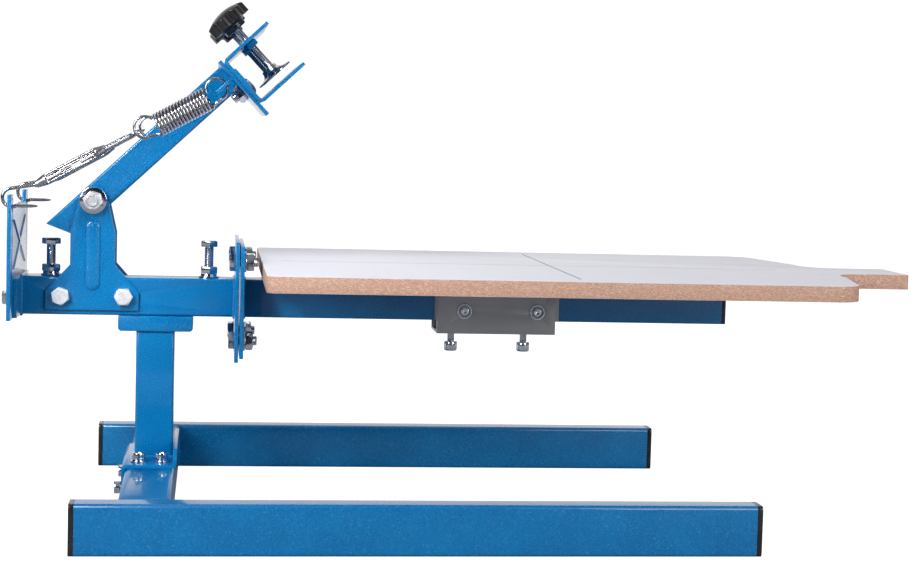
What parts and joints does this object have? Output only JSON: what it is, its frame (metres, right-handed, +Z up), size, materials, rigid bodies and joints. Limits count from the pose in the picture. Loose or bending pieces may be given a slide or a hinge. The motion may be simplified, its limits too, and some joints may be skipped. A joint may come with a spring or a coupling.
{
  "type": "tabletop screen printing press",
  "caption": "Bench press for screen printing: a spring lifted swing arm clamps a screen frame above a flat shirt pallet on a welded tube stand.",
  "frame": {"origin": "on the bench, under the post's axis, on the cross tube's lower face", "axes": "+X along the press from the hinge to the operator's end, +Y away from the near side, +Z up"},
  "size_m": [0.9647, 0.53, 0.5307],
  "materials": {
    "blue": "gloss powder coat with a fine hammered texture",
    "black_plastic": "moulded, semi matt",
    "zinc": "bright zinc plate",
    "spring_steel": "bright wire and drop forged steel",
    "grey_steel": "plain grey, satin",
    "board": "particle board with white laminate faces"
  },
  "bodies": {
    "frame": {"cross_tube": "blue", "foot_near": "blue", "foot_far": "blue", "foot_caps": "black_plastic", "foot_bracket": "blue", "foot_bracket_screws": "zinc", "foot_bracket_washers": "zinc", "post": "blue", "saddle": "blue", "beam": "blue", "beam_rear_flange": "blue", "back_plate": "blue", "back_plate_bolts": "zinc", "beam_front_plate": "blue", "hinge_plate_near": "blue", "hinge_plate_far": "blue", "hinge_plate_bolts": "zinc", "hinge_plate_nuts": "zinc", "pivot_bolt": "zinc", "pivot_washers": "zinc", "pivot_nut": "zinc", "stop_nuts": "zinc", "stop_washers": "zinc", "front_joint_bolts": "zinc", "front_joint_washers": "zinc", "front_joint_nuts": "zinc", "pallet_arm_plate": "blue", "pallet_arm": "blue", "pallet_arm_cap": "black_plastic"},
    "swing": {"swing_arm": "blue", "pivot_sleeve": "zinc", "arm_end_plate": "blue", "spring_ears": "blue", "clamp_channel": "blue", "channel_bolts": "zinc", "channel_nuts": "zinc", "clamp_nuts": "blue"},
    "rear_stop": {"rear_stop_bolt": "zinc"},
    "front_stop": {"front_stop_bolt": "zinc"},
    "pallet": {"pallet_board": "board", "pallet_screws": "zinc", "pallet_bracket": "grey_steel", "bracket_clip": "grey_steel", "bracket_side_screws": "zinc"},
    "clip_rear": {"clip_screw_rear": "zinc"},
    "clip_front": {"clip_screw_front": "zinc"},
    "foot_near_clamp": {"clamp_foot_near": "zinc"},
    "foot_far_clamp": {"clamp_foot_far": "zinc"},
    "screw_near": {"clamp_screw_near": "zinc", "clamp_knob_near": "black_plastic"},
    "screw_far": {"clamp_screw_far": "zinc", "clamp_knob_far": "black_plastic"},
    "hook_near_link": {"hook_near": "spring_steel", "spring_near": "spring_steel"},
    "hook_far_link": {"hook_far": "spring_steel", "spring_far": "spring_steel"},
    "body_near": {"turnbuckle_near": "spring_steel"},
    "body_far": {"turnbuckle_far": "spring_steel"},
    "eye_near_rod": {"eye_near": "spring_steel"},
    "eye_far_rod": {"eye_far": "spring_steel"}
  },
  "joints": [
    {"name": "arm_hinge", "type": "hinge", "parent": "frame", "child": "swing", "pos_m": [-0.066, 0, 0.3235], "axis": [0, -1, 0], "range_deg": [-45, 20], "deforming": ["spring_near", "spring_far"]},
    {"name": "hook_swing_near", "type": "hinge", "parent": "frame", "child": "hook_near_link", "pos_m": [-0.1435, -0.08, 0.327], "axis": [0, -1, 0], "range_deg": [-32.5, 14.5]},
    {"name": "turnbuckle_turn_near", "type": "hinge", "parent": "hook_near_link", "child": "body_near", "pos_m": [-0.1435, -0.08, 0.327], "axis": [0.8712, 0, 0.4908], "range_deg": [-1084, 1084]},
    {"name": "eye_travel_near", "type": "slide", "parent": "hook_near_link", "child": "eye_near_rod", "axis": [0.8712, 0, 0.4908], "range_m": [-0.0048, 0.0048]},
    {"name": "hook_swing_far", "type": "hinge", "parent": "frame", "child": "hook_far_link", "pos_m": [-0.1435, 0.08, 0.327], "axis": [0, -1, 0], "range_deg": [-32.5, 14.5]},
    {"name": "turnbuckle_turn_far", "type": "hinge", "parent": "hook_far_link", "child": "body_far", "pos_m": [-0.1435, 0.08, 0.327], "axis": [0.8712, 0, 0.4908], "range_deg": [-1084, 1084]},
    {"name": "eye_travel_far", "type": "slide", "parent": "hook_far_link", "child": "eye_far_rod", "axis": [0.8712, 0, 0.4908], "range_m": [-0.0048, 0.0048]},
    {"name": "clamp_travel_near", "type": "slide", "parent": "swing", "child": "foot_near_clamp", "axis": [-0.6884, 0, 0.7254], "range_m": [-0.008, 0.02]},
    {"name": "clamp_turn_near", "type": "hinge", "parent": "foot_near_clamp", "child": "screw_near", "pos_m": [0.07185, -0.076, 0.50946], "axis": [-0.6884, 0, 0.7254], "range_deg": [-2306, 5764]},
    {"name": "clamp_travel_far", "type": "slide", "parent": "swing", "child": "foot_far_clamp", "axis": [-0.6884, 0, 0.7254], "range_m": [-0.008, 0.02]},
    {"name": "clamp_turn_far", "type": "hinge", "parent": "foot_far_clamp", "child": "screw_far", "pos_m": [0.07185, 0.076, 0.50946], "axis": [-0.6884, 0, 0.7254], "range_deg": [-2306, 5764]},
    {"name": "pallet_slide", "type": "slide", "parent": "frame", "child": "pallet", "axis": [1, 0, 0], "range_m": [-0.003, 0.17]},
    {"name": "clip_screw_travel_rear", "type": "slide", "parent": "pallet", "child": "clip_rear", "axis": [0, 0, -1], "range_m": [0, 0.008]},
    {"name": "clip_screw_travel_front", "type": "slide", "parent": "pallet", "child": "clip_front", "axis": [0, 0, -1], "range_m": [0, 0.008]},
    {"name": "rear_stop_travel", "type": "slide", "parent": "frame", "child": "rear_stop", "axis": [0, 0, 1], "range_m": [-0.012, 0]},
    {"name": "front_stop_travel", "type": "slide", "parent": "frame", "child": "front_stop", "axis": [0, 0, 1], "range_m": [-0.012, 0.02]}
  ],
  "couplings": [
    {"joint": "hook_swing_near", "follows": "arm_hinge", "ratio": 0.72},
    {"joint": "turnbuckle_turn_near", "follows": "eye_travel_near", "rad_per_m": -3927},
    {"joint": "hook_swing_far", "follows": "arm_hinge", "ratio": 0.72},
    {"joint": "turnbuckle_turn_far", "follows": "eye_travel_far", "rad_per_m": -3927},
    {"joint": "clamp_turn_near", "follows": "clamp_travel_near", "rad_per_m": 5026.5},
    {"joint": "clamp_turn_far", "follows": "clamp_travel_far", "rad_per_m": 5026.5}
  ]
}
